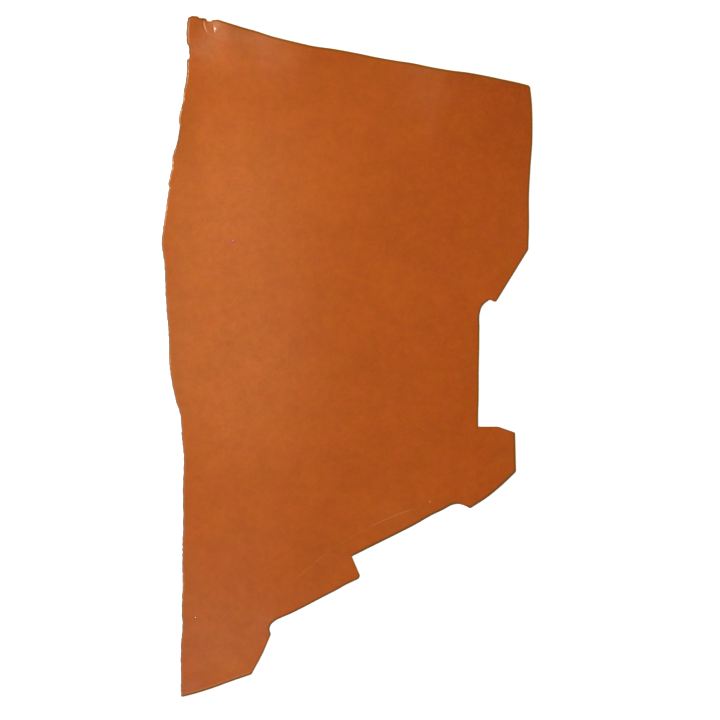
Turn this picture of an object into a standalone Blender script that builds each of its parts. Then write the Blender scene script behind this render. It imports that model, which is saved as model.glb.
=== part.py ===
"""A cut piece of smooth leather hide, lying grain side up on a flat surface.

Lengths in the tables are millimetres and the model is in metres, +Z up. +Y points to the
neck end of the hide. The origin is the middle of the outline's box, on the underside, which
is flat wherever the hide touches the surface.
"""

import math
from collections import namedtuple

import bmesh
import bpy
from mathutils import Vector

MM = 0.001

# The leather itself.
THICKNESS = 2.8
LEATHER_COLOUR = (0.45, 0.12, 0.025, 1.0)
LEATHER_ROUGHNESS = 0.5

# The cuts across the sheet that let it bend, and the steps of the curves round its edge.
GRID_PITCH = 24.0
GRID_START_X = -282.0
GRID_START_Y = -540.0
CURVE_STEP = 10.0
FEWEST_STEPS = 2
STRAIGHT_WITHIN = math.radians(0.5)
SHORTEST_EDGE = 0.4

# A station is a point that the edge goes through. `ease` is SMOOTH where the edge curves
# through it; otherwise it is a corner, rounded from that far before it to that far after it.
Station = namedtuple("Station", "x y ease")
SMOOTH = None

# The edge, clockwise from above, a table for each of its stretches.
TORN_CORNER = (
    Station(-262.0, 557.5, 1.0),
    Station(-257.5, 560.0, SMOOTH),
    Station(-247.0, 560.5, 1.5),
    Station(-243.5, 558.0, SMOOTH),
    Station(-233.5, 556.0, 1.0),
    Station(-230.0, 552.5, 1.0),
    Station(-225.5, 552.5, SMOOTH),
    Station(-221.5, 554.5, 1.0),
)
NECK_CUT = (
    Station(-213.5, 554.5, SMOOTH),
    Station(-205.0, 552.0, SMOOTH),
    Station(-176.0, 543.5, SMOOTH),
    Station(-130.0, 529.5, SMOOTH),
    Station(-75.0, 515.0, SMOOTH),
    Station(-36.5, 508.5, SMOOTH),
    Station(8.5, 501.0, SMOOTH),
    Station(88.0, 486.5, SMOOTH),
    Station(148.0, 475.0, SMOOTH),
    Station(219.0, 464.0, SMOOTH),
    Station(276.5, 453.0, SMOOTH),
    Station(301.0, 446.0, 4.0),
)
BACK_EDGE = (
    Station(304.5, 414.5, SMOOTH),
    Station(305.5, 386.0, SMOOTH),
    Station(305.0, 355.0, SMOOTH),
    Station(302.0, 312.0, SMOOTH),
    Station(299.5, 274.0, SMOOTH),
    Station(299.5, 211.5, SMOOTH),
    Station(298.0, 176.0, 2.0),
    Station(245.5, 89.5, 1.0),
)
SIDE_BAY = (
    Station(241.5, 90.5, SMOOTH),
    Station(235.5, 93.0, SMOOTH),
    Station(229.0, 89.5, SMOOTH),
    Station(221.5, 81.5, SMOOTH),
    Station(218.5, 72.0, SMOOTH),
    Station(217.5, 50.0, SMOOTH),
    Station(217.0, -50.0, SMOOTH),
    Station(216.0, -115.5, 0.0),
)
BELLY_LOBE = (
    Station(248.5, -115.5, 2.0),
    Station(276.5, -125.5, 1.5),
    Station(278.0, -190.0, 2.0),
    Station(257.0, -210.0, SMOOTH),
    Station(225.5, -235.5, SMOOTH),
    Station(202.5, -250.5, 1.5),
)
LONG_CUT = (
    Station(196.0, -247.0, SMOOTH),
    Station(182.0, -243.0, SMOOTH),
    Station(172.5, -244.5, SMOOTH),
    Station(160.0, -251.5, 2.0),
    Station(8.0, -330.0, 0.5),
)
TONGUE = (
    Station(22.0, -365.0, 3.0),
    Station(-91.0, -422.5, 5.0),
    Station(-105.0, -428.5, SMOOTH),
    Station(-119.5, -436.0, SMOOTH),
    Station(-126.0, -442.5, SMOOTH),
    Station(-128.0, -450.0, SMOOTH),
    Station(-126.0, -458.0, 2.0),
    Station(-139.5, -489.5, SMOOTH),
    Station(-158.0, -524.0, 2.0),
)
TAIL_CUT = (
    Station(-196.5, -537.0, SMOOTH),
    Station(-237.0, -551.5, SMOOTH),
    Station(-273.5, -561.0, 2.5),
)
NATURAL_EDGE = (
    Station(-274.0, -480.0, SMOOTH),
    Station(-271.0, -445.0, SMOOTH),
    Station(-272.0, -425.0, SMOOTH),
    Station(-271.0, -380.0, SMOOTH),
    Station(-270.5, -210.0, SMOOTH),
    Station(-269.0, -166.0, SMOOTH),
    Station(-273.0, -128.0, SMOOTH),
    Station(-275.5, -94.0, SMOOTH),
    Station(-280.0, -80.0, SMOOTH),
    Station(-289.0, -40.5, SMOOTH),
    Station(-294.0, -2.5, SMOOTH),
    Station(-294.0, 25.5, SMOOTH),
    Station(-299.0, 96.0, SMOOTH),
    Station(-301.0, 152.5, SMOOTH),
    Station(-305.5, 192.0, SMOOTH),
    Station(-303.5, 206.5, SMOOTH),
    Station(-300.0, 234.0, SMOOTH),
    Station(-295.0, 267.5, SMOOTH),
    Station(-293.0, 277.5, 0.5),
    Station(-294.5, 282.5, SMOOTH),
    Station(-293.5, 290.0, SMOOTH),
    Station(-290.5, 305.5, SMOOTH),
    Station(-287.0, 331.0, SMOOTH),
    Station(-278.5, 360.0, SMOOTH),
    Station(-276.0, 381.0, SMOOTH),
    Station(-277.5, 390.0, SMOOTH),
    Station(-275.0, 404.0, SMOOTH),
    Station(-270.5, 422.0, SMOOTH),
    Station(-268.5, 441.0, SMOOTH),
    Station(-264.0, 466.0, SMOOTH),
    Station(-264.0, 488.0, 1.0),
    Station(-259.5, 491.5, 1.0),
    Station(-260.5, 511.0, 1.0),
    Station(-263.5, 517.0, SMOOTH),
    Station(-264.0, 538.0, SMOOTH),
)
STRETCHES = (
    TORN_CORNER,
    NECK_CUT,
    BACK_EDGE,
    SIDE_BAY,
    BELLY_LOBE,
    LONG_CUT,
    TONGUE,
    TAIL_CUT,
    NATURAL_EDGE,
)

# Where the leather lifts off the surface. A lift is highest at x, y and dies away over
# `reach` towards `heading` (degrees from +X), and over `span` on either side of that line.
Lift = namedtuple("Lift", "name x y heading reach span height")
LIFTS = (
    Lift("torn_corner_curl", -264.0, 561.0, -55.0, 70.0, 75.0, 8.0),
    Lift("torn_corner_pucker", -198.0, 545.0, -75.0, 85.0, 34.0, 5.0),
    Lift("neck_wave_left", -88.0, 519.0, -82.0, 110.0, 62.0, 5.0),
    Lift("neck_wave_right", 165.0, 473.0, -95.0, 150.0, 66.0, 4.5),
    Lift("neck_corner_curl", 303.0, 448.0, -140.0, 80.0, 90.0, 3.5),
    Lift("natural_edge_upper", -280.0, 362.0, 0.0, 34.0, 60.0, 3.0),
    Lift("natural_edge_flank", -270.0, -180.0, 0.0, 40.0, 110.0, 2.0),
    Lift("bay_point_curl", 248.0, 90.0, 140.0, 50.0, 45.0, 2.5),
    Lift("lobe_curl", 278.0, -160.0, 180.0, 60.0, 75.0, 3.0),
    Lift("tongue_curl", 20.0, -365.0, 120.0, 60.0, 55.0, 3.0),
    Lift("tail_curl", -274.0, -561.0, 62.0, 75.0, 70.0, 4.0),
)


def clear_scene():
    """Remove every object that the file opened with."""
    for obj in list(bpy.data.objects):
        bpy.data.objects.remove(obj, do_unlink=True)


def edge_nodes(stations):
    """(point, tangent in, tangent out) along the closed edge, two nodes for each eased corner.

    A smooth station's tangent is the slope there of the parabola through it and its two
    neighbours, with the distance between them as the parameter.
    """
    nodes = []
    count = len(stations)
    for index, station in enumerate(stations):
        here = Vector((station.x, station.y))
        before = here - Vector(stations[index - 1][:2])
        after = Vector(stations[(index + 1) % count][:2]) - here
        into = before.normalized()
        out_of = after.normalized()
        if station.ease is SMOOTH:
            across = (before + after) / (before.length + after.length)
            slope = into + out_of - across
            nodes.append((here, slope, slope))
        elif station.ease == 0.0:
            nodes.append((here, into, out_of))
        else:
            nodes.append((here - into * station.ease, into, into))
            nodes.append((here + out_of * station.ease, out_of, out_of))
    return nodes


def edge_points(stations):
    """Points round the edge: cubic Hermite curves between the nodes, one step where straight."""
    nodes = edge_nodes(stations)
    points = []
    for (start, _, leave), (end, arrive, _) in zip(nodes, nodes[1:] + nodes[:1], strict=True):
        chord = end - start
        length = chord.length
        bend = max(leave.angle(chord), arrive.angle(chord))
        steps = 1
        if bend > STRAIGHT_WITHIN:
            steps = max(FEWEST_STEPS, math.ceil(length / CURVE_STEP))
        for step in range(steps):
            t = step / steps
            along = t * t * (3.0 - 2.0 * t)
            points.append(
                start.lerp(end, along)
                + leave * (length * t * (1.0 - t) ** 2)
                - arrive * (length * t * t * (1.0 - t))
            )
    return points


def crown(distance, reach):
    """A smooth bump: 1 at no distance, 0 from `reach` on."""
    if abs(distance) >= reach:
        return 0.0
    return math.cos(0.5 * math.pi * distance / reach) ** 2


def lift_at(x, y):
    """Height of the underside over the surface at x, y, in millimetres."""
    height = 0.0
    for lift in LIFTS:
        heading = math.radians(lift.heading)
        east = x - lift.x
        north = y - lift.y
        inwards = max(0.0, east * math.cos(heading) + north * math.sin(heading))
        sideways = north * math.cos(heading) - east * math.sin(heading)
        height += lift.height * crown(inwards, lift.reach) * crown(sideways, lift.span)
    return height


def cut_across(mesh, axis, start, end):
    """Cut the sheet along every grid line across one axis (0 for X, 1 for Y)."""
    normal = Vector((0.0, 0.0, 0.0))
    normal[axis] = 1.0
    place = start
    while place < end:
        bmesh.ops.bisect_plane(
            mesh,
            geom=mesh.verts[:] + mesh.edges[:] + mesh.faces[:],
            plane_co=normal * place,
            plane_no=normal,
            dist=1e-4,
        )
        place += GRID_PITCH


def sheet_mesh():
    """The underside of the hide: the outline filled, cut into a grid and lifted."""
    stations = [station for stretch in STRETCHES for station in stretch]
    points = edge_points(stations)
    sheet = bmesh.new()
    rim = [sheet.verts.new((point.x, point.y, 0.0)) for point in reversed(points)]
    sheet.faces.new(rim)
    cut_across(sheet, 0, GRID_START_X, max(point.x for point in points))
    cut_across(sheet, 1, GRID_START_Y, max(point.y for point in points))
    bmesh.ops.remove_doubles(sheet, verts=sheet.verts[:], dist=SHORTEST_EDGE)
    bmesh.ops.triangulate(sheet, faces=sheet.faces[:])
    for vertex in sheet.verts:
        vertex.co.z = lift_at(vertex.co.x, vertex.co.y)
        vertex.co *= MM
    mesh = bpy.data.meshes.new("hide")
    sheet.to_mesh(mesh)
    sheet.free()
    return mesh


def leather_material():
    """Smooth tan leather, in a plain colour."""
    material = bpy.data.materials.new("leather")
    material.use_nodes = True
    shader = material.node_tree.nodes["Principled BSDF"]
    shader.inputs["Base Color"].default_value = LEATHER_COLOUR
    shader.inputs["Roughness"].default_value = LEATHER_ROUGHNESS
    shader.inputs["Metallic"].default_value = 0.0
    return material


def add_hide(collection):
    """The hide, its thickness laid upwards from the underside."""
    hide = bpy.data.objects.new("hide", sheet_mesh())
    hide.data.materials.append(leather_material())
    collection.objects.link(hide)
    wall = hide.modifiers.new("thickness", "SOLIDIFY")
    wall.thickness = THICKNESS * MM
    wall.offset = 1.0
    return hide


def main():
    """Build the hide in a collection of its own."""
    clear_scene()
    collection = bpy.data.collections.new("leather_hide")
    bpy.context.scene.collection.children.link(collection)
    add_hide(collection)


main()
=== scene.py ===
"""A cut piece of smooth tan leather hide, lying grain side up on a pale floor.

The tables are in millimetres and the meshes in metres, +Z up. +Y points to the neck end of
the hide, and its natural edge runs down the -X side. The origin is the middle of the
outline's box, on the underside. The hide has the edge and the lifts of the plain solid that
it stands for, and adds the section of each edge, the creases at the torn corner, the swell
of a tanned skin and the finish of its grain, edges and flesh side.
"""

import logging
import math
from dataclasses import dataclass
from enum import Enum
from functools import reduce

import bpy
import numpy as np
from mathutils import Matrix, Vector
from mathutils.geometry import delaunay_2d_cdt

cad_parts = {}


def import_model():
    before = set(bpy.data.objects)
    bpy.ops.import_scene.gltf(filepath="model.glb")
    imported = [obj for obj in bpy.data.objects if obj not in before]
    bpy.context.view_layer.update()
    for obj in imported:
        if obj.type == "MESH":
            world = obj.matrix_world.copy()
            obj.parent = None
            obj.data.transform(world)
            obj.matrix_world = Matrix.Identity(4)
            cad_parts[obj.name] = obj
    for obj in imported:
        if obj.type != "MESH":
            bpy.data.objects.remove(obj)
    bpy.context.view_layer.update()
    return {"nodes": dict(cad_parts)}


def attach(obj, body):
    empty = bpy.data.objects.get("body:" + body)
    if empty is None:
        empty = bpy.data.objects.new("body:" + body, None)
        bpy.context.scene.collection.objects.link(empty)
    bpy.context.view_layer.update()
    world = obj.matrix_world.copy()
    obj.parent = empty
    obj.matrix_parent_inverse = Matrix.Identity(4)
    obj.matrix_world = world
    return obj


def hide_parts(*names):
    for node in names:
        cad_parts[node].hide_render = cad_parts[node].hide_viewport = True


Point = tuple[float, float, float]
Colour = tuple[float, float, float]
Place = tuple[float, float]
Span = tuple[float, float]
Box = tuple[Place, Place]
Move = tuple[Span, Span]
Strip = tuple[Span, Span, float]
Station = tuple[float, ...]
Waypoint = tuple[int, np.ndarray, np.ndarray, np.ndarray]
Socket = bpy.types.NodeSocket
Given = Socket | Colour | float

MM = 0.001
LARGEST_REACH = 640.0
WHOLE_FLOOR: Box = ((-LARGEST_REACH, -LARGEST_REACH), (LARGEST_REACH, LARGEST_REACH))
NO_BOX: Box = ((0.0, 0.0), (0.0, 0.0))
FILL_HULL = 0
FILL_SLACK = 1e-7
NOISE_RANGE: Span = (0.3, 0.7)

log = logging.getLogger("leather_hide")


class EdgeKind(Enum):
    """How a stretch of the edge came about.

    The value is the edge's waver in millimetres, the waver's pitch in points of the
    outline, and how far the edge stands out past its stations in millimetres.
    """

    CUT = (0.05, 14, 0.20)
    NATURAL = (0.5, 3.5, 0.47)
    TORN = (0.45, 2, 0.15)


@dataclass(frozen=True)
class Stretch:
    """One stretch of the edge: its kind, its stations and its rim's tone and painted light.

    A station is (x, y) where the edge curves through it, or (x, y, ease) at a corner that
    is rounded from that far before it to that far after it. `dark_reach` is how far in the
    rim is darkened, and `dark_depth` how deeply: the edge's own darker colour with painted
    shade where the edge rounds over. `burr` is the share of golden fibre on the outermost
    millimetre, and `painted_edge_shade` the share of painted shade, strongest on the lower edges
    that face away from the window. `strip_inset` is how far in the pale strip of a raw edge
    starts, `frayed` the share of the rim that is grey, frayed fibre, and `painted_bevel_light` the
    strength of a painted highlight inside the rim, where its bevel catches the light.
    """

    name: str
    kind: EdgeKind
    stations: tuple[Station, ...]
    dark_reach: float
    dark_depth: float
    burr: float = 0.0
    painted_edge_shade: float = 0.0
    strip_inset: float = 1.0
    frayed: float = 0.0
    painted_bevel_light: float = 0.0


@dataclass(frozen=True)
class Lift:
    """A place where the leather lifts off the floor.

    It is highest at its place and dies away over `reach` towards `heading` (degrees from
    +X), and over `span` on either side of that line.
    """

    name: str
    place: Place
    heading: float
    reach: float
    span: float
    height: float

    def height_at(self, points: np.ndarray) -> np.ndarray:
        """Height that this lift gives: the product of two cosine-squared bumps.

        Args:
            points: (n, 2) places on the floor, in millimetres.

        Returns:
            (n,) heights in millimetres.
        """
        turn = math.radians(self.heading)
        east, north = (points - self.place).T
        inwards = np.maximum(0.0, east * math.cos(turn) + north * math.sin(turn))
        sideways = north * math.cos(turn) - east * math.sin(turn)
        return self.height * crown(inwards, self.reach) * crown(sideways, self.span)


@dataclass(frozen=True)
class Crease:
    """A sharp trough in the grain, along a path, with a shaded bank and a steep lit bank.

    The lit bank is on the right of the path's direction. `polish` and `lit` are the shares
    of shine and of painted light on it, the shaded bank carries painted shade, and a
    `lean` over 1 moves the deepest place on towards the path's end. A negative depth
    makes a ridge.
    """

    STEPS = 8

    name: str
    path: tuple[Place, ...]
    depth: float
    shaded_width: float
    lit_width: float
    polish: float
    lit: float = 1.0
    lean: float = 1.0

    def frame_at(self, points: np.ndarray) -> tuple[np.ndarray, np.ndarray]:
        """Where points lie beside the path.

        The path is a run of straight pieces through a smooth line by its points. A point
        takes the nearest piece: its distance, signed by the side, and the share of the
        path's length up to the foot of that distance.

        Args:
            points: (n, 2) places in millimetres.

        Returns:
            (n,) distances, positive on the lit side, and (n,) shares from 0 to 1.
        """
        line = smoothed_line(np.array(self.path, float), self.STEPS)
        start, step = line[:-1], np.diff(line, axis=0)
        length = np.linalg.norm(step, axis=1)
        away = points[:, None] - start[None]
        share = np.clip((away * step).sum(-1) / length**2, 0.0, 1.0)
        gap = np.linalg.norm(away - share[..., None] * step, axis=-1)
        nearest = gap.argmin(axis=1)
        rows = np.arange(len(points))
        beside = step[nearest, 1] * away[rows, nearest, 0]
        beside -= step[nearest, 0] * away[rows, nearest, 1]
        run = np.concatenate([[0.0], np.cumsum(length)])
        along = (run[nearest] + share[rows, nearest] * length[nearest]) / run[-1]
        return gap[rows, nearest] * np.where(beside < 0.0, -1.0, 1.0), along

    def taper(self, along: np.ndarray) -> np.ndarray:
        """Fade from both ends: the root of a half sine of the share to the power `lean`."""
        return np.sqrt(np.sin(np.pi * np.clip(along, 0.0, 1.0) ** self.lean))

    def relief_at(self, points: np.ndarray) -> np.ndarray:
        """Height of the grain: minus the depth times a bell, wider on the shaded bank.

        Args:
            points: (n, 2) places in millimetres.

        Returns:
            (n,) heights in millimetres, below zero in a trough and above it on a ridge.
        """
        across, along = self.frame_at(points)
        width = np.where(across < 0.0, self.shaded_width, self.lit_width)
        return -self.depth * self.taper(along) * np.exp(-((across / width) ** 2))

    def shares_at(self, points: np.ndarray) -> dict[str, np.ndarray]:
        """Shares of painted light, of painted shade and of shine: each a bell across the path.

        The table holds each bell's amount, its centre towards the lit side and its width.

        Args:
            points: (n, 2) places in millimetres.

        Returns:
            (n,) shares from 0 to 1 for each of the three.
        """
        across, along = self.frame_at(points)
        fade = self.taper(along)
        bells = {
            "lit_bank": (self.lit, 0.9 * self.lit_width, 1.05),
            "shaded_bank": (1.0, -0.6 * self.shaded_width, 0.8),
            "polish": (self.polish, self.lit_width, 3.0),
        }
        return {
            name: amount * (fade * np.exp(-(((across - centre) / width) ** 2)))
            for name, (amount, centre, width) in bells.items()
        }


class Tone(Enum):
    """How a patch differs from the rest, in the order laid on; some are painted light and shade.
    """

    DEEP = "deep"
    OCHRE = "ochre"
    RUSSET = "russet"
    PALE = "pale"
    ROSY = "rosy"
    # Painted sheen: a whitish reflection of the window light.
    HAZE = "haze"
    OLIVE = "olive"
    FIBRE = "fibre"


@dataclass(frozen=True)
class Patch:
    """A soft patch of a tone, strongest at its place, with its reach along X and along Y."""

    name: str
    place: Place
    reach: tuple[float, float]
    strength: float

    def share_at(self, points: np.ndarray) -> np.ndarray:
        """Share of the tone: the strength times a bell along X and a bell along Y."""
        return self.strength * np.exp(-(((points - self.place) / self.reach) ** 2).sum(axis=1))


@dataclass(frozen=True)
class Swell:
    """The uneven body of a tanned skin, as smooth noise on a lattice of random heights."""

    seed: int
    pitch: float
    height: float

    def height_at(self, points: np.ndarray) -> np.ndarray:
        """Height of the noise.

        The four lattice heights around a point are blended with the quintic
        t^3 (6 t^2 - 15 t + 10) of its place in the cell, along X and along Y.

        Args:
            points: (n, 2) places in millimetres.

        Returns:
            (n,) heights in millimetres, between minus and plus `height`.
        """
        span = 2 * (math.ceil(LARGEST_REACH / self.pitch) + 2)
        lattice = np.random.default_rng(self.seed).uniform(-1.0, 1.0, (span, span))
        place = points / self.pitch + span / 2
        cell = np.floor(place).astype(int)
        part = place - cell
        east, north = (part**3 * (6.0 * part**2 - 15.0 * part + 10.0)).T
        column, row = cell.T
        low = lattice[row, column] * (1 - east) + lattice[row, column + 1] * east
        high = lattice[row + 1, column] * (1 - east) + lattice[row + 1, column + 1] * east
        return self.height * (low * (1 - north) + high * north)


EDGE = (
    Stretch("torn_corner", EdgeKind.TORN, (
        (-262, 557.5, 1), (-257.5, 560), (-246.5, 560.3, 1.2),
    ), dark_reach=3.0, dark_depth=0.95, burr=0.9),
    Stretch("torn_nub", EdgeKind.TORN, (
        (-243, 557.4), (-233.2, 557, 1),
    ), dark_reach=3.2, dark_depth=1.0, burr=0.6),
    Stretch("torn_notch", EdgeKind.TORN, (
        (-230.2, 552.5, 0.8), (-223.6, 552.2, 0.6),
    ), dark_reach=1.6, dark_depth=0.0, burr=0.6),
    Stretch("torn_lip", EdgeKind.TORN, (
        (-221.8, 554.5, 0.8),
    ), dark_reach=2.4, dark_depth=0.75, burr=1.0),
    Stretch("neck_cut", EdgeKind.CUT, (
        (-213.5, 554.5), (-205, 552), (-176, 543.5), (-153, 537.2), (-122, 527), (-90, 518.8),
        (-58, 511.7), (-25, 507.3), (7.5, 501.5), (24, 498.3), (40, 494.8), (72, 488.9),
        (88, 486.4), (105, 483.9), (137, 477), (169.5, 471.2), (202, 467.3), (234.5, 461.3),
        (251, 457.7), (283, 450.6),
    ), dark_reach=3.6, dark_depth=0.95, burr=1.0),
    Stretch("back_edge", EdgeKind.CUT, (
        (301, 446, 4), (304.3, 414.5), (305.2, 386), (305, 355), (302, 312), (299.6, 266),
        (299.5, 211.5),
    ), dark_reach=3.2, dark_depth=1.0, burr=0.8, painted_edge_shade=0.1),
    Stretch("bay_slant", EdgeKind.CUT, (
        (298.4, 176, 2), (251, 99.5, 4), (245, 89.8, 1.5),
    ), dark_reach=3.0, dark_depth=1.0, burr=0.5, painted_edge_shade=0.35),
    Stretch("bay_tip", EdgeKind.CUT, ((241.5, 90.5),), dark_reach=1.8, dark_depth=0.0),
    Stretch("bay_round", EdgeKind.CUT, (
        (235.5, 93.2), (229, 89.7), (221.5, 81.5), (218.5, 72),
    ), dark_reach=3.0, dark_depth=1.0, burr=0.1, painted_edge_shade=0.55),
    Stretch("bay_side", EdgeKind.CUT, (
        (217.8, 45), (217.5, 15), (216.8, -20), (216.5, -70), (215.7, -100),
    ), dark_reach=3.2, dark_depth=1.0, burr=0.7, painted_edge_shade=0.1),
    Stretch("bay_foot", EdgeKind.CUT, (
        (215.8, -115.9, 0), (248.5, -115.8, 2),
    ), dark_reach=2.0, dark_depth=0.7, burr=0.2, painted_edge_shade=0.1),
    Stretch("lobe_side", EdgeKind.CUT, (
        (276.5, -125.5, 1.5),
    ), dark_reach=3.8, dark_depth=1.0, burr=0.7, painted_edge_shade=0.15),
    Stretch("lobe_slant", EdgeKind.CUT, (
        (278, -190, 2), (257, -210.3), (228.5, -233.8), (202.5, -250.5, 1.5),
    ), dark_reach=4.0, dark_depth=1.0, burr=0.1, painted_edge_shade=0.5),
    Stretch("notch_lip", EdgeKind.CUT, (
        (196, -247),
    ), dark_reach=2.0, dark_depth=0.45, painted_edge_shade=0.3),
    Stretch("long_cut", EdgeKind.CUT, (
        (182, -243), (172.5, -244.8), (158.5, -252.3), (140, -261.2), (111.5, -277.3),
        (82, -292.5), (52.5, -307.2), (23, -321.7),
    ), dark_reach=3.8, dark_depth=1.0, painted_edge_shade=0.55),
    Stretch("tongue_end", EdgeKind.CUT, (
        (7.4, -329.6, 0.5),
    ), dark_reach=2.2, dark_depth=0.8, burr=0.7, painted_edge_shade=0.1),
    Stretch("tongue", EdgeKind.CUT, (
        (22.3, -364.3, 5.5), (-4.5, -377.3), (-18.5, -385.4), (-33.5, -393), (-62.5, -408.3),
        (-91, -422.8, 5), (-105, -428.8), (-119.5, -436), (-126.2, -442.5), (-128.4, -450),
    ), dark_reach=3.1, dark_depth=1.0, painted_edge_shade=0.45),
    Stretch("tail_end", EdgeKind.CUT, (
        (-126, -458, 2), (-139.5, -489.5),
    ), dark_reach=2.4, dark_depth=0.9, burr=0.5, painted_edge_shade=0.2),
    Stretch("tail_cut", EdgeKind.CUT, (
        (-158, -524.1, 2), (-192, -535.7), (-223, -546.9), (-254.5, -556.4),
    ), dark_reach=3.0, dark_depth=1.0, burr=0.3, painted_edge_shade=0.35, painted_bevel_light=0.4),
    Stretch("natural_tail", EdgeKind.NATURAL, (
        (-273.5, -561, 2.5), (-274.2, -510), (-273.8, -476), (-271.5, -447), (-272.5, -426),
        (-271.5, -385), (-271.5, -315), (-270.4, -278), (-270.6, -212), (-269, -167),
        (-272.5, -131), (-275, -96.5),
    ), dark_reach=2.0, dark_depth=0.9, painted_edge_shade=0.25, frayed=1.0),
    Stretch("natural_belly", EdgeKind.NATURAL, (
        (-280, -81), (-289.2, -41), (-293.8, -4), (-294, 25.5), (-299, 96), (-301.3, 152.5),
        (-305.6, 192),
    ), dark_reach=2.0, dark_depth=0.85, frayed=1.0),
    Stretch("natural_shoulder", EdgeKind.NATURAL, (
        (-303.5, 209), (-300, 234), (-295, 267.5), (-293, 277.5, 0.5), (-294.5, 282.5),
        (-293.5, 290), (-290, 306.5),
    ), dark_reach=1.9, dark_depth=0.65, strip_inset=0.9, frayed=0.9),
    Stretch("natural_crest", EdgeKind.NATURAL, (
        (-287, 331), (-279.7, 354.6), (-276.2, 379), (-277.2, 389), (-275, 404), (-270.5, 421),
    ), dark_reach=3.6, dark_depth=1.0, frayed=0.12),
    Stretch("natural_neck", EdgeKind.NATURAL, (
        (-268.5, 441), (-265, 460), (-264, 476), (-264.1, 488.8, 0.8),
    ), dark_reach=2.6, dark_depth=0.95, painted_edge_shade=0.25, strip_inset=1.9, frayed=0.4),
    Stretch("corner_hollow", EdgeKind.NATURAL, (
        (-259.7, 491.5, 0.8), (-260.1, 499), (-260.8, 507.4),
    ), dark_reach=2.5, dark_depth=0.85, painted_edge_shade=0.1),
    Stretch("corner_flank", EdgeKind.NATURAL, (
        (-261.2, 512.2, 0.6), (-263.8, 517), (-264.1, 524), (-263.9, 539.5), (-263.2, 548),
    ), dark_reach=2.7, dark_depth=0.95, painted_edge_shade=0.35, strip_inset=1.9, frayed=0.3),
)

LIFTS = (
    Lift("torn_corner_curl", (-264, 561), -55, 70, 75, 8),
    Lift("torn_corner_pucker", (-198, 545), -75, 85, 34, 5),
    Lift("neck_wave_left", (-88, 519), -82, 110, 62, 5),
    Lift("neck_wave_right", (165, 473), -95, 150, 66, 4.5),
    Lift("neck_corner_curl", (303, 448), -140, 80, 90, 3.5),
    Lift("natural_edge_upper", (-280, 362), 0, 34, 60, 3),
    Lift("natural_edge_flank", (-270, -180), 0, 40, 110, 2),
    Lift("bay_point_curl", (248, 90), 140, 50, 45, 2.5),
    Lift("lobe_curl", (278, -160), 180, 60, 75, 3),
    Lift("tongue_curl", (20, -365), 120, 60, 55, 3),
    Lift("tail_curl", (-274, -561), 62, 75, 70, 4),
)

CREASES = (
    Crease(
        "crescent",
        (
            (-229.3, 530.6), (-231.8, 533.4), (-234.2, 537.6), (-235.8, 542), (-236.9, 546.5),
            (-237.2, 552),
        ),
        depth=0.9, shaded_width=1.5, lit_width=1.6, polish=0.5, lean=1.7,
    ),
    Crease(
        "pinch",
        ((-218.9, 533), (-219.6, 536.5), (-220.3, 540.5), (-220.6, 544), (-220.9, 547)),
        depth=1.0, shaded_width=2.2, lit_width=1.2, polish=1.0, lit=0.8, lean=0.8,
    ),
    Crease(
        "flap_ridge",
        (
            (-258.3, 556), (-259.5, 550), (-260.2, 544), (-260.8, 536), (-260.8, 528),
            (-260.4, 520), (-259.8, 513.5),
        ),
        depth=-0.3, shaded_width=0.9, lit_width=0.7, polish=0.0, lit=0.7,
    ),
)

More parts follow.
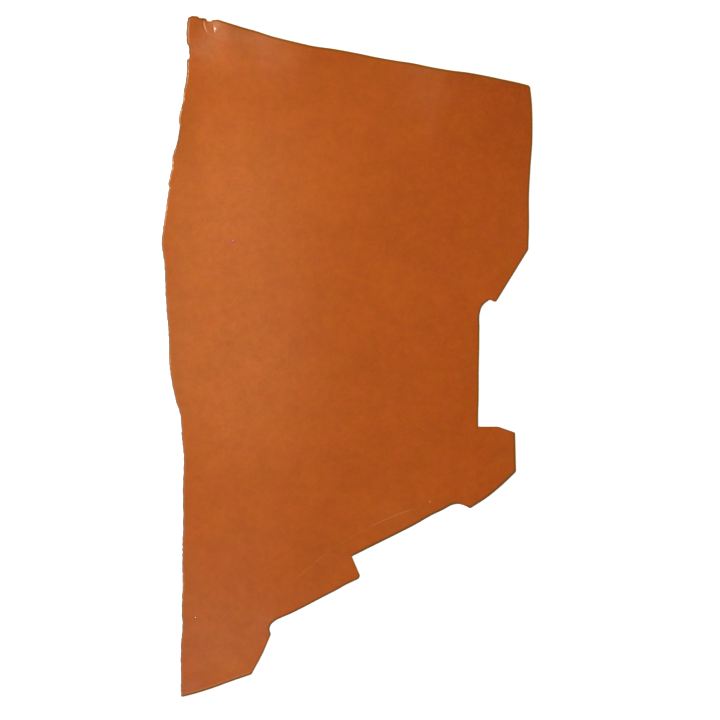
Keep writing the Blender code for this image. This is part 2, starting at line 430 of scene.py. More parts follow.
PATCHES = {
    # Deep patches: painted shade at back_corner, far from the window, on the far flanks of the
    # neck waves, at the torn flap and beside the curled edge at neck_rim; the other shade patches
    # darken the grain in soft blotches.
    Tone.DEEP: (
        Patch("back_corner", (298, 433), (104, 155), 0.51),
        Patch("neck_shade", (150, 470), (120, 14), 0.06),
        Patch("foot_shade", (-20, -265), (65, 50), 0.05),
        Patch("neck_rim", (-276, 383), (9, 42), 0.48),
        Patch("tail_rim", (-264, -512), (30, 90), 0.35),
        Patch("wave_shade", (72, 200), (34, 30), 0.12),
        Patch("back_shade", (170, 190), (34, 40), 0.14),
        Patch("upper_shade", (105, 260), (40, 50), 0.12),
        Patch("middle_shade", (20, -10), (50, 40), 0.1),
        Patch("low_shade", (30, -165), (60, 40), 0.14),
        Patch("lobe_shade", (252, -170), (50, 45), 0.15),
        Patch("tongue_shade", (-35, -315), (56, 60), 0.12),
        Patch("left_wave_shade", (-12, 497), (44, 16), 0.24),
        Patch("right_wave_shade", (240, 453), (50, 20), 0.34),
        Patch("flap_shade", (-239, 555), (6, 3), 0.7),
    ),
    # Ochre patches: a lighter, warmer tone, partly painted light at shoulder and shoulder_glow on
    # the window side.
    Tone.OCHRE: (
        Patch("shoulder", (-225, 350), (80, 90), 0.45),
        Patch("upper_middle", (-50, 310), (120, 120), 0.35),
        Patch("tail_shade_left", (-254, -510), (14, 14), 0.5),
        Patch("tail_shade_right", (-192, -511), (24, 13), 0.6),
        Patch("bay_glow", (100, 110), (60, 40), 0.3),
        Patch("lower_glow", (90, -250), (70, 40), 0.27),
        Patch("shoulder_glow", (-274, 300), (34, 70), 0.16),
    ),
    # Russet patches: a darker, redder tone, partly painted shade at back_side and back_neck, far
    # from the window.
    Tone.RUSSET: (
        Patch("back_side", (250, -100), (150, 260), 0.52),
        Patch("back_neck", (210, 330), (120, 200), 0.34),
        Patch("crest_shade", (-20, 496), (50, 22), 0.15),
        Patch("neck_side", (-262, 430), (16, 70), 0.25),
        Patch("shoulder_shade", (-250, 375), (36, 80), 0.09),
    ),
    # Pale: partly painted light on the window side; flap_glow, neck_glow are painted sheen.
    Tone.PALE: (
        Patch("upper_belly", (-192, 250), (129, 190), 0.6),
        Patch("lower_belly", (-190, -60), (125, 170), 0.52),
        Patch("belly_glow", (-258, 130), (40, 160), 0.08),
        Patch("flap_glow", (-218, 495), (44, 34), 0.34),
        Patch("neck_glow", (-158, 505), (64, 48), 0.2),
    ),
    # Rosy patches: partly painted sheen on the pinker lower left; corner_blush is painted sheen
    # beside the pinch crease.
    Tone.ROSY: (
        Patch("tail_root", (-170, -320), (90, 80), 0.08),
        Patch("tail_end", (-220, -490), (120, 90), 0.28),
        Patch("tail_tip", (-258, -546), (18, 12), 0.25),
        Patch("notch_bloom", (-140, -440), (22, 22), 0.16),
        Patch("tongue_bloom", (-50, -400), (74, 24), 0.07),
        Patch("long_cut_bloom", (110, -270), (90, 22), 0.04),
        Patch("corner_blush", (-214, 550), (12, 7), 0.45),
    ),
    # Painted sheen: the window light's reflection on lit flanks of lifts and waves.
    Tone.HAZE: (
        Patch("belly_bloom", (-110, 50), (60, 120), 0.01),
        Patch("belly_edge", (-280, 10), (26, 150), 0.024),
        Patch("tail_flank", (-262, -370), (20, 110), 0.02),
        Patch("corner_bloom", (-213, 535), (26, 18), 0.078),
        Patch("pinch_bloom", (-214.5, 545), (6, 6.5), 0.06),
        Patch("flap_bloom", (-240, 508), (24, 15), 0.06),
        Patch("hinge_bloom", (-176, 532), (18, 10), 0.03),
        Patch("wave_streak", (-139, 505), (9, 28), 0.022),
        Patch("wave_foot", (-112, 468), (46, 22), 0.012),
        Patch("tail_mist", (-212, -390), (52, 80), 0.011),
        Patch("tongue_mist", (-30, -338), (42, 34), 0.009),
        Patch("lip_bloom", (-203, 549), (13, 7), 0.028),
        Patch("left_wave_bloom", (-146, 523), (42, 16), 0.05),
        Patch("left_wave_glow", (-110, 495), (36, 20), 0.026),
        Patch("right_wave_bloom", (128, 472), (36, 11), 0.03),
        Patch("right_wave_glow", (132, 432), (36, 28), 0.02),
        Patch("right_wave_streak", (138, 385), (8, 34), 0.012),
    ),
    Tone.OLIVE: (
        Patch("belly_flank", (-298, 20), (34, 300), 0.3),
        Patch("neck_flank", (-272, 400), (30, 100), 0.32),
        Patch("neck_olive_1", (-150, 533), (46, 10), 0.2),
        Patch("neck_olive_2", (-65, 510), (46, 10), 0.22),
        Patch("neck_olive_3", (50, 490), (50, 12), 0.27),
        Patch("neck_olive_4", (145, 473), (50, 12), 0.27),
        Patch("neck_olive_5", (240, 457), (50, 12), 0.27),
        Patch("tail_olive", (-282, -330), (22, 170), 0.3),
        Patch("lobe_olive", (272, -165), (26, 50), 0.2),
        Patch("flap_depth", (-250, 548), (12, 15), 0.44),
    ),
    Tone.FIBRE: (
        Patch("fibre_under_step", (-264, 471), (20, 15), 0.95),
        Patch("fibre_shoulder", (-274, 416), (22, 30), 1),
        Patch("fibre_spur", (-288, 316), (22, 28), 1),
        Patch("fibre_bulge", (-304, 236), (22, 28), 0.8),
        Patch("fibre_belly", (-293, -4), (22, 16), 0.35),
        Patch("fibre_tail", (-271, -372), (22, 16), 0.35),
    ),
}

# Painted glints: near-white colour on the pinch crease's lit bank, for the window's reflection.
GLINTS = (
    Patch("pinch_glint", (-218.3, 539), (0.8, 2.8), 0.62),
    Patch("pinch_spark", (-217.1, 539.9), (0.95, 0.85), 1),
)

SWELLS = (Swell(seed=11, pitch=85.0, height=0.16), Swell(seed=12, pitch=34.0, height=0.05))


def crown(distance: np.ndarray, reach: float) -> np.ndarray:
    """A smooth bump: cosine squared, from 1 at no distance to 0 from `reach` on."""
    return np.cos(0.5 * np.pi * np.clip(np.abs(distance) / reach, 0.0, 1.0)) ** 2


def within(places: np.ndarray, box: Box) -> np.ndarray:
    """True for the places that lie in the box, which is its lowest and highest corners."""
    return ((places > box[0]) & (places < box[1])).all(axis=1)


def hermite(
    start: np.ndarray, end: np.ndarray, leave: np.ndarray, arrive: np.ndarray, t: np.ndarray
) -> np.ndarray:
    """The cubic from start to end at shares t, which leaves and arrives with those slopes."""
    line = start + (end - start) * (t * t * (3.0 - 2.0 * t))
    return line + leave * t * (1.0 - t) ** 2 - arrive * t * t * (1.0 - t)


def smoothed_line(points: np.ndarray, steps: int) -> np.ndarray:
    """A smooth line through a few points, in cubic pieces.

    The slope at an inner point is half the way from the point before it to the one after.

    Args:
        points: (n, 2) points that the line goes through.
        steps: pieces between two points.

    Returns:
        (m, 2) points along the line, its ends included.
    """
    slopes = np.gradient(points, axis=0)
    t = np.linspace(0.0, 1.0, steps, endpoint=False)[None, :, None]
    starts_and_ends = (points[:-1, None], points[1:, None], slopes[:-1, None], slopes[1:, None])
    return np.concatenate([hermite(*starts_and_ends, t).reshape(-1, 2), points[-1:]])


def ring_noise(seed: int, count: int, pitch: float) -> np.ndarray:
    """Smooth noise round a closed ring: random values `pitch` steps apart, cosine-blended.

    Args:
        seed: seed of the random values.
        count: number of points on the ring.
        pitch: points from one random value to the next, about.

    Returns:
        (count,) values from -1 to 1.
    """
    knots = max(3, round(count / pitch))
    values = np.random.default_rng(seed).uniform(-1.0, 1.0, knots)
    place = np.arange(count) * knots / count
    cell = place.astype(int)
    blend = 0.5 - 0.5 * np.cos(np.pi * (place - cell))
    return values[cell] * (1 - blend) + values[(cell + 1) % knots] * blend


def placed(name: str, data: bpy.types.ID) -> bpy.types.Object:
    """Put a new object with that data in the scene, at the origin.

    Args:
        name: the object's name.
        data: its mesh, light or camera.

    Returns:
        The object.
    """
    thing = bpy.data.objects.new(name, data)
    bpy.context.scene.collection.objects.link(thing)
    return thing


class Outline:
    """The closed edge of the hide from above, clockwise, as evenly stepped points."""

    STEP = 1.25
    BLEND_STEPS = 7
    FIRST_SEED = 100
    BLOCK = 1500
    # The rim's tone, painted shade and painted highlight, set stretch by stretch.
    RIM_TONE_AND_LIGHT = ("dark_reach", "dark_depth", "burr", "painted_edge_shade", "strip_inset", "frayed", "painted_bevel_light")

    def __init__(self, stretches: tuple[Stretch, ...]) -> None:
        """Walk the stretches, and roughen and spread each kind of edge by its own amount.

        Args:
            stretches: the stretches of the edge in order.
        """
        self.points, stretch_of = self._walk(self._waypoints(stretches))
        self.kinds = {
            kind: self._soften(np.array([s.kind is kind for s in stretches])[stretch_of])
            for kind in EdgeKind
        }
        # Rim tone with its painted shade and painted highlight, blended between stretches.
        self.rim_tone_and_light = {
            name: self._soften(np.array([getattr(s, name) for s in stretches])[stretch_of])
            for name in self.RIM_TONE_AND_LIGHT
        }
        self.inward = self._inward_normals()
        for seed, kind in enumerate(EdgeKind, self.FIRST_SEED):
            amount, pitch, growth = kind.value
            waver = amount * ring_noise(seed, len(self.points), pitch) - growth
            self.points = self.points + self.inward * (waver * self.kinds[kind])[:, None]
        self.inward = self._inward_normals()

    def _soften(self, values: np.ndarray) -> np.ndarray:
        """Running mean round the ring, so that one stretch passes gently into the next."""
        shifts = range(-self.BLEND_STEPS // 2, self.BLEND_STEPS // 2 + 1)
        return np.mean([np.roll(values.astype(float), shift) for shift in shifts], axis=0)

    def _inward_normals(self) -> np.ndarray:
        """Unit normals to the right of the walk.

        Returns:
            (n, 2) normals, each square to the line from the point before to the one after.
        """
        along = np.roll(self.points, -1, axis=0) - np.roll(self.points, 1, axis=0)
        right = np.column_stack([along[:, 1], -along[:, 0]])
        return right / np.linalg.norm(right, axis=1)[:, None]

    @staticmethod
    def _waypoints(stretches: tuple[Stretch, ...]) -> list[Waypoint]:
        """What the edge passes: one point for each station, and two for an eased corner.

        A smooth station's tangent is the slope there of the parabola through it and its
        two neighbours, with the distance between them as the parameter.

        Args:
            stretches: the stretches of the edge in order.

        Returns:
            Number of the stretch, point, tangent in and tangent out for each, in order.
        """
        stations = [(i, station) for i, s in enumerate(stretches) for station in s.stations]
        waypoints = []
        for index, (number, (x, y, *ease)) in enumerate(stations):
            here = np.array((x, y), float)
            before = here - stations[index - 1][1][:2]
            after = stations[(index + 1) % len(stations)][1][:2] - here
            reach_in, reach_out = np.linalg.norm(before), np.linalg.norm(after)
            into, out_of = before / reach_in, after / reach_out
            if not ease:
                slope = into + out_of - (before + after) / (reach_in + reach_out)
                waypoints.append((number, here, slope, slope))
            elif ease[0] == 0.0:
                waypoints.append((number, here, into, out_of))
            else:
                waypoints.append((number, here - into * ease[0], into, into))
                waypoints.append((number, here + out_of * ease[0], out_of, out_of))
        return waypoints

    def _walk(self, waypoints: list[Waypoint]) -> tuple[np.ndarray, np.ndarray]:
        """Points along cubic Hermite curves between the waypoints, about STEP apart.

        Args:
            waypoints: the waypoints of the edge in order.

        Returns:
            (n, 2) points and (n,) the number of the stretch that each is on.
        """
        pieces, stretch_of = [], []
        legs = zip(waypoints, waypoints[1:] + waypoints[:1], strict=True)
        for (number, start, _, leave), (_, end, arrive, _) in legs:
            length = float(np.linalg.norm(end - start))
            steps = max(1, round(length / self.STEP))
            t = (np.arange(steps) / steps)[:, None]
            pieces.append(hermite(start, end, leave * length, arrive * length, t))
            stretch_of += [number] * steps
        return np.concatenate(pieces), np.array(stretch_of)

    def inset(self, distance: float | np.ndarray) -> np.ndarray:
        """The ring carried inwards along its normals by `distance` millimetres."""
        return self.points + self.inward * np.broadcast_to(distance, len(self.points))[:, None]

    def measure(self, places: np.ndarray) -> tuple[np.ndarray, np.ndarray]:
        """Distance of places from the edge, positive inside, and the nearest ring point.

        The nearest ring point is found first: it has the least |r|^2 - 2 p.r. The distance
        is then the least one to the two straight pieces that meet there, signed by the
        side of that point's normal.

        Args:
            places: (n, 2) places in millimetres.

        Returns:
            (n,) signed distances and (n,) indices of ring points.
        """
        squares = (self.points**2).sum(1)
        blocks = np.array_split(places, max(1, len(places) // self.BLOCK))
        nearest = np.concatenate(
            [(squares - 2.0 * block @ self.points.T).argmin(axis=1) for block in blocks]
        )
        away = places - self.points[nearest]
        gaps = []
        for side in (-1, 1):
            step = self.points[(nearest + side) % len(self.points)] - self.points[nearest]
            share = np.clip((away * step).sum(1) / (step**2).sum(1), 0.0, 1.0)
            gaps.append(np.linalg.norm(away - share[:, None] * step, axis=1))
        inside = (away * self.inward[nearest]).sum(1)
        return np.minimum(*gaps) * np.where(inside < 0.0, -1.0, 1.0), nearest


class Slot(Enum):
    """The hide's material slots, in order."""

    GRAIN = 0
    CUT_EDGE = 1
    RAW_EDGE = 2
    FLESH = 3


@dataclass(frozen=True)
class Hide:
    """The hide itself: its body, the section of its edges and the mesh that they make.

    A section holds (inset, height) from the underside up to the grain. The lowest
    `wall_rows` pieces of it are the bare wall, and a knife cut bares the next one. A grid is
    its pitch and how far it keeps from the edge, and a ring is its inset and its step in
    points of the outline. A ring's point is kept where no other part of the edge comes
    nearer than `own_share` of the inset.
    """

    outline: Outline
    thickness: float = 2.8
    natural_rim: float = 0.9
    natural_reach: float = 4.2
    fibres: Swell = Swell(seed=21, pitch=2.4, height=0.16)
    corner_box: Box = ((-270.0, 500.0), (-196.0, 565.0))
    crease_box: Box = ((-243.0, 527.0), (-211.0, 556.0))
    cut_section: tuple[Place, ...] = (
        (0.30, 0.0), (0.0, 0.35), (0.0, 1.2), (0.0, 2.1), (0.08, 2.45), (0.34, 2.7), (0.85, 2.8),
    )
    natural_section: tuple[Place, ...] = (
        (0.35, 0.0), (0.0, 0.25), (0.0, 0.5), (0.06, 0.75), (0.2, 1.0), (0.45, 1.2), (0.85, 1.47),
    )
    wall_rows: int = 3
    grain_rings: tuple[tuple[float, int], ...] = ((1.5, 1), (2.2, 1), (3.1, 2), (4.4, 2), (7.0, 4))
    under_rings: tuple[tuple[float, int], ...] = ((2.0, 1), (6.0, 2))
    own_share: float = 0.96
    crease_grid: tuple[float, float] = (0.8, 1.4)
    corner_grid: tuple[float, float] = (2.0, 5.0)
    open_grid: tuple[float, float] = (6.0, 10.0)
    under_grid: tuple[float, float] = (12.0, 10.0)
    sharp_angle: float = 48.0
    far_mm: float = 20.0
    far_part: float = 2.0
    bead_level: float = 0.68
    bead_swing: float = 0.58
    bead_seed: int = 31
    bead_pitch: int = 3

    def underside_at(self, places: np.ndarray) -> np.ndarray:
        """Height of the underside: the sum of the lifts."""
        return sum(lift.height_at(places) for lift in LIFTS)

    def body_at(self, places: np.ndarray) -> np.ndarray:
        """Thickness away from the edge: the plain one, the swells and the creases."""
        swell = sum(swell.height_at(places) for swell in SWELLS)
        return self.thickness + swell + sum(crease.relief_at(places) for crease in CREASES)

    def raw_share(self, nearest: np.ndarray) -> np.ndarray:
        """Share of each place's nearest edge that is natural or torn, and so not cut."""
        return 1.0 - self.outline.kinds[EdgeKind.CUT][nearest]

    def grain_at(self, places: np.ndarray) -> np.ndarray:
        """Height of the grain side over the floor, inside the rim.

        Near a raw edge the body loses a parabola, from the rim to `natural_reach`, and
        carries loose fibres that die away over the same reach.

        Args:
            places: (n, 2) places in millimetres.

        Returns:
            (n,) heights in millimetres.
        """
        inset, nearest = self.outline.measure(places)
        near = np.clip(1.0 - inset / self.natural_reach, 0.0, 1.0)
        raw = self.raw_share(nearest)
        fibres = self.fibres.height_at(places) * (near * raw)
        loss = (self.thickness - self.natural_rim) * near**2 * raw
        return self.underside_at(places) + self.body_at(places) - loss + fibres

    def rim_rows(self) -> list[np.ndarray]:
        """The edge's section carried round the outline, from the underside to the grain.

        Each ring point blends the cut section and the natural section by its raw share.

        Returns:
            (n, 3) points in millimetres for each point of the section.
        """
        raw = self.raw_share(np.arange(len(self.outline.points)))
        lift = self.underside_at(self.outline.points)
        body = self.body_at(self.outline.points) / self.thickness
        rows = []
        for cut, natural in zip(self.cut_section, self.natural_section, strict=True):
            inset, height = (c * (1 - raw) + n * raw for c, n in zip(cut, natural, strict=True))
            rows.append(np.column_stack([self.outline.inset(inset), lift + height * body]))
        return rows

    def grid(
        self, pitch: float, clear: float, box: Box = WHOLE_FLOOR, hole: Box = NO_BOX
    ) -> np.ndarray:
        """Points on a grid over a box, each second row shifted by half a pitch.

        Args:
            pitch: distance between points in a row.
            clear: the least distance of a point from the edge.
            box: the box's lowest and highest corners.
            hole: a box that is left empty.

        Returns:
            (n, 2) points in millimetres.
        """
        (west, south), (east, north) = box
        y = np.arange(south, north, pitch * math.sqrt(0.75))
        x = np.arange(west, east, pitch)
        shift = 0.5 * pitch * (np.arange(len(y)) % 2)
        points = np.column_stack([(x[None] + shift[:, None]).ravel(), np.repeat(y, len(x))])
        points = points[~within(points, hole)]
        return points[self.outline.measure(points)[0] > clear]

    def ringed(self, rings: tuple[tuple[float, int], ...]) -> np.ndarray:
        """Points in rings inside the edge.

        Args:
            rings: the rings from the edge inwards.

        Returns:
            (n, 2) points in millimetres.
        """
        kept = []
        for inset, step in rings:
            ring = self.outline.inset(inset)[::step]
            kept.append(ring[self.outline.measure(ring)[0] > self.own_share * inset])
        return np.concatenate(kept)

    def grain_points(self) -> np.ndarray:
        """Places of the grain side's points: rings near the edge and three nested grids.

        Returns:
            (n, 2) points in millimetres.
        """
        rings = self.ringed(self.grain_rings)
        rings = rings[~within(rings, self.crease_box)]
        creases = self.grid(*self.crease_grid, self.crease_box)
        corner = self.grid(*self.corner_grid, self.corner_box, self.crease_box)
        open_grain = self.grid(*self.open_grid, hole=self.corner_box)
        return np.concatenate([rings, creases, corner, open_grain])

    def under_points(self) -> np.ndarray:
        """Places of the flesh side's points: two rings near the edge and a coarse grid."""
        return np.concatenate([self.ringed(self.under_rings), self.grid(*self.under_grid)])

    @staticmethod
    def filled(ring: np.ndarray, places: np.ndarray) -> np.ndarray:
        """Triangles that fill a ring through given places: a constrained Delaunay mesh.

        The mesh spans the hull of the points, and the triangles that belong to the ring's
        own face are kept.

        Args:
            ring: (n, 2) the closed ring, clockwise.
            places: (m, 2) places inside it.

        Returns:
            (k, 3) indices into the ring's points and then the places, counterclockwise.
        """
        joined = np.concatenate([ring, places])
        face = list(range(len(ring)))[::-1]
        fill = delaunay_2d_cdt(joined.tolist(), [], [face], FILL_HULL, FILL_SLACK, True)
        if len(fill[0]) != len(joined):
            raise ValueError(f"the fill changed {len(joined)} points into {len(fill[0])}")
        return np.array(fill[2])[np.array([bool(sources) for sources in fill[5]])]

    def build(self) -> bpy.types.Object:
        """Make the closed mesh of the hide and dress it.

        Its points are the rim's rows, then the grain's, then the flesh side's.

        Returns:
            The new object, at the origin.
        """
        rows = self.rim_rows()
        count = len(self.outline.points)
        last_row = (len(rows) - 1) * count
        grain, under = self.grain_points(), self.under_points()
        grain_side = np.column_stack([grain, self.grain_at(grain)])
        flesh_side = np.column_stack([under, self.underside_at(under)])
        points = np.concatenate([*rows, grain_side, flesh_side])

        here = np.arange(count)
        after = (here + 1) % count
        strip = np.column_stack([here, here + count, after + count, after])
        rim = np.concatenate([strip + row * count for row in range(len(rows) - 1)])
        top = self.filled(rows[-1][:, :2], grain) + last_row
        below = self.filled(rows[0][:, :2], under)[:, ::-1]
        below = np.where(below < count, below, below + last_row + len(grain))

        raw = self.raw_share(here) > 0.5
        wall = np.where(raw, Slot.RAW_EDGE.value, Slot.CUT_EDGE.value)
        rounding = np.where(raw, Slot.GRAIN.value, Slot.CUT_EDGE.value)
        bare = np.concatenate([*[wall] * self.wall_rows, rounding])
        slots = np.full(len(rim) + len(top) + len(below), Slot.GRAIN.value, np.int32)
        slots[: len(bare)] = bare
        slots[-len(below) :] = Slot.FLESH.value

        mesh = bpy.data.meshes.new("leather_hide")
        faces = [*rim.tolist(), *top.tolist(), *below.tolist()]
        mesh.from_pydata((points * MM).tolist(), [], faces)
        mesh.polygons.foreach_set("material_index", slots)
        for name, values in self.shares(points[:, :2]).items():
            attribute = mesh.attributes.new(name, "FLOAT", "POINT")
            attribute.data.foreach_set("value", values.astype(np.float32))
        for slot in Slot:
            mesh.materials.append(FINISHES[slot].material())
        mesh.shade_smooth()
        mesh.set_sharp_from_angle(angle=math.radians(self.sharp_angle))
        mesh.validate()
        return placed("leather_hide", mesh)

    def shares(self, places: np.ndarray) -> dict[str, np.ndarray]:
        """What the finishes blend by, point by point.

        Args:
            places: (n, 2) places of the mesh's points in millimetres.

        Returns:
            (n,) numbers for each name that a finish asks for.
        """
        inset, nearest = self.outline.measure(places)
        inset = np.maximum(inset, 0.0)
        inset_mm = np.minimum(inset, self.far_mm)
        rim = {name: values[nearest] for name, values in self.outline.rim_tone_and_light.items()}
        beads = ring_noise(self.bead_seed, len(self.outline.points), self.bead_pitch)[nearest]
        shares = {
            "inset_mm": inset_mm,
            "strip_mm": inset_mm - rim["strip_inset"],
            "rim_part": np.minimum(inset / rim["dark_reach"], self.far_part),
            "rim_depth": rim["dark_depth"],
            "beads": self.raw_share(nearest) * (self.bead_level + self.bead_swing * beads),
            "glint": np.minimum(1.0, sum(glint.share_at(places) for glint in GLINTS)),
        }
        # Rim shares, painted edge shade and painted bevel highlight among them.
        shares |= {name: rim[name] for name in ("burr", "painted_edge_shade", "frayed", "painted_bevel_light")}
        creased = [crease.shares_at(places) for crease in CREASES]
        shares |= {name: sum(parts[name] for parts in creased) for name in creased[0]}
        for tone, patches in PATCHES.items():
            shares[tone.value] = sum(patch.share_at(places) for patch in patches)
        return shares


class Graph:
    """A material's nodes, with a short call for each kind that the finishes share."""

    def __init__(self, name: str) -> None:
        """Start a material whose shader is one Principled BSDF.

        Args:
            name: the material's name.
        """
        self.material = bpy.data.materials.new(name)
        self.material.use_nodes = True
        self.tree = self.material.node_tree
        self.shader = self.tree.nodes["Principled BSDF"]
        self.place = self.add("ShaderNodeTexCoord", {}).outputs["Object"]

    def add(self, kind: str, inputs: dict[int | str, Given], **settings: str) -> bpy.types.Node:
        """Add a node.

        Args:
            kind: the node's type.
            inputs: what its inputs are given, by name or number.
            settings: its properties.

        Returns:
            The node.
        """
        node = self.tree.nodes.new(kind)
        for name, value in settings.items():
            setattr(node, name, value)
        self.feed(node, inputs)
        return node

    def feed(self, node: bpy.types.Node, inputs: dict[int | str, Given]) -> None:
        """Give a node's inputs a link, a colour, a vector or a number each.

        Args:
            node: the node.
            inputs: what its inputs are given, by name or number.
        """
        for key, value in inputs.items():
            socket = node.inputs[key]
            if isinstance(value, Socket):
                self.tree.links.new(value, socket)
            elif socket.type == "RGBA":
                socket.default_value = (*value, 1.0)
            else:
                socket.default_value = value

    def share(self, name: str) -> Socket:
        """The mesh's own number of that name."""
        return self.add("ShaderNodeAttribute", {}, attribute_name=name).outputs["Fac"]

    def noise(
        self,
        feature_mm: float,
        detail: float = 2.0,
        stretch: Point = (1.0, 1.0, 1.0),
        offset: float = 0.0,
    ) -> Socket:
        """Smooth noise over the hide, from 0 to 1.

        Args:
            feature_mm: size of its features.
            detail: octaves of finer noise on it.
            stretch: how much longer the features are along X, Y and Z.
            offset: shift in metres, so that two noises don't match.

        Returns:
            The noise's value.
        """
        scale = tuple(1.0 / s for s in stretch)
        moved = {"Vector": self.place, "Location": (offset, offset, offset), "Scale": scale}
        place = self.add("ShaderNodeMapping", moved).outputs["Vector"]
        inputs = {"Vector": place, "Scale": 1.0 / (feature_mm * MM), "Detail": detail}
        return self.add("ShaderNodeTexNoise", inputs).outputs["Fac"]

    def worked_out(self, operation: str, first: Given, second: Given = 0.0) -> Socket:
        """A number from one or two others by a math operation."""
        inputs = {0: first, 1: second}
        return self.add("ShaderNodeMath", inputs, operation=operation).outputs["Value"]

    def times(self, first: Given, second: Given) -> Socket:
        """The product of two numbers."""
        return self.worked_out("MULTIPLY", first, second)

    def span(self, value: Socket, source: Span, target: Span = (0.0, 1.0)) -> Socket:
        """A number moved from one range to another with soft ends, and held inside it.

        Args:
            value: the number.
            source: its range.
            target: the range that it is moved to.

        Returns:
            The moved number.
        """
        names = ("Value", "From Min", "From Max", "To Min", "To Max")
        inputs = dict(zip(names, (value, *source, *target), strict=True))
        node = self.add("ShaderNodeMapRange", inputs, interpolation_type="SMOOTHSTEP")
        return node.outputs["Result"]

    def band(self, value: Socket, come: Span, leave: Span, strength: float = 1.0) -> Socket:
        """Share of a strip that comes in over one range of a number and leaves over another."""
        return self.times(self.span(value, come), self.span(value, leave, (strength, 0.0)))

    def mix(self, share: Given, first: Given, second: Given, blend: str = "MIX") -> Socket:
        """A colour between two others, or another blend of them, by the colour sockets."""
        inputs = {0: share, 6: first, 7: second}
        return self.add("ShaderNodeMix", inputs, data_type="RGBA", blend_type=blend).outputs[2]

    def laid(self, under: Given, over: Given, *shares: Given) -> Socket:
        """A colour with another laid over it, by the product of the shares."""
        return self.mix(reduce(self.times, shares), under, over)

    def shaded(self, colour: Given, amount: Socket) -> Socket:
        """A colour times a number."""
        return self.mix(1.0, colour, amount, "MULTIPLY")

    def bump(self, height: Socket, height_mm: float, onto: Socket | None = None) -> Socket:
        """A normal from a height map.

        Args:
            height: heights from 0 to 1.
            height_mm: what a height of 1 stands for.
            onto: a normal that this one is laid on.

        Returns:
            The normal.
        """
        inputs = {"Distance": height_mm * MM, "Height": height}
        if onto is not None:
            inputs["Normal"] = onto
        return self.add("ShaderNodeBump", inputs).outputs["Normal"]

    def distance_from(self, centre: Place) -> Socket:
        """Distance over the ground from a place given in millimetres, in metres.

        Args:
            centre: the place.

        Returns:
            The distance.
        """
        ground = {0: self.place, 1: (1.0, 1.0, 0.0)}
        flat = self.add("ShaderNodeVectorMath", ground, operation="MULTIPLY").outputs["Vector"]
        ends = {0: flat, 1: (centre[0] * MM, centre[1] * MM, 0.0)}
        return self.add("ShaderNodeVectorMath", ends, operation="DISTANCE").outputs["Value"]

    def finish(self, inputs: dict[str, Given]) -> bpy.types.Material:
        """Feed the shader's inputs, and give back the material."""
        self.feed(self.shader, inputs)
        return self.material


@dataclass(frozen=True)
class Mark:
    """A small round mark on the grain."""

    name: str
    place: Place
    radius: float
    colour: Colour
    strength: float

    def over(self, graph: Graph, colour: Given) -> Socket:
        """The colour with the mark on it, full to half its radius and gone at the whole.

        Args:
            graph: the material's nodes.
            colour: the grain's colour.

        Returns:
            The marked colour.
        """
        fade = (0.5 * self.radius * MM, self.radius * MM)
        share = graph.span(graph.distance_from(self.place), fade, (self.strength, 0.0))
        return graph.laid(colour, self.colour, share)


@dataclass(frozen=True)
class Scratch:
    """A fine scratch along part of a circle.

    Each of its pieces is where it starts and where it ends along X, and its strength.
    """

    colour: Colour = (0.455, 0.173, 0.0592)
    centre: Place = (262.8, -726.5)
    radius: float = 499.5
    half_width: float = 1.2
    fade: float = 14.0
    pieces: tuple[tuple[float, float, float], ...] = (
        (-91.0, -30.0, 0.22),
        (-38.0, 30.0, 0.12),
        (33.0, 108.0, 0.36),
        (84.0, 124.0, 0.14),
    )

    def over(self, graph: Graph, colour: Given) -> Socket:
        """The colour with the scratch on it.

        A piece falls off over the half width on either side of the circle, and fades in
        and out over `fade` at its ends.

        Args:
            graph: the material's nodes.
            colour: the grain's colour.

        Returns:
            The marked colour.
        """
        gap = graph.worked_out("SUBTRACT", graph.distance_from(self.centre), self.radius * MM)
        off = graph.worked_out("ABSOLUTE", gap)
        across = graph.span(off, (0.0, self.half_width * MM), (1.0, 0.0))
        east = graph.add("ShaderNodeSeparateXYZ", {0: graph.place}).outputs[0]
        for start, end, strength in self.pieces:
            come = (start * MM, (start + self.fade) * MM)
            along = graph.band(east, come, ((end - self.fade) * MM, end * MM))
            colour = graph.laid(colour, self.colour, across, along, strength)
        return colour


